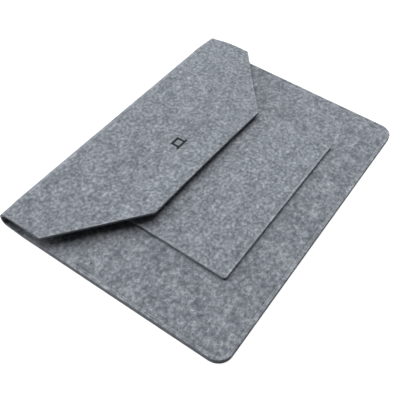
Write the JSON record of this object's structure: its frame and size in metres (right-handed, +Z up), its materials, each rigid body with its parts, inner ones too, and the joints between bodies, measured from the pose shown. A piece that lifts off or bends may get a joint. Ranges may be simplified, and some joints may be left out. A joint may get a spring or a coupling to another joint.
{
  "type": "laptop sleeve",
  "caption": "Soft felt envelope sleeve for a laptop, with a fold-over flap, a sewn front pocket and hidden hook-and-loop closures.",
  "frame": {"origin": "middle of the sleeve's underside outline, on the surface it lies on", "axes": "+X across the sleeve (its long side), +Y towards the folded end, +Z up through the flap"},
  "size_m": [0.38, 0.272, 0.0206],
  "materials": {
    "felt": "pressed wool-blend felt, heathered grey-blue",
    "thread": "grey polyester sewing thread",
    "hook_tape": "moulded hook tape",
    "loop_tape": "brushed loop tape",
    "emblem_ink": "matte heat-transfer film"
  },
  "bodies": {
    "sleeve": {"back_panel": "felt", "front_panel": "felt", "pocket_panel": "felt", "edge_seam_needle_thread": "thread", "edge_seam_bobbin_thread": "thread", "pocket_seam_needle_thread": "thread", "pocket_seam_bobbin_thread": "thread", "loop_pad_left": "loop_tape", "loop_pad_right": "loop_tape", "loop_pad_thread_left": "thread", "loop_pad_thread_right": "thread"},
    "bend": {"bend_strip": "felt"},
    "flap": {"flap": "felt", "hook_pad_left": "hook_tape", "hook_pad_right": "hook_tape", "flap_emblem": "emblem_ink"}
  },
  "joints": [
    {"name": "lower_crease", "type": "hinge", "parent": "sleeve", "child": "bend", "pos_m": [0, 0.13309, 0.00291], "axis": [-1, 0, 0], "range_deg": [0, 88]},
    {"name": "upper_crease", "type": "hinge", "parent": "bend", "child": "flap", "pos_m": [0, 0.13309, 0.01699], "axis": [-1, 0, 0], "range_deg": [0, 88]}
  ],
  "couplings": [
    {"joint": "upper_crease", "follows": "lower_crease", "ratio": 1}
  ]
}
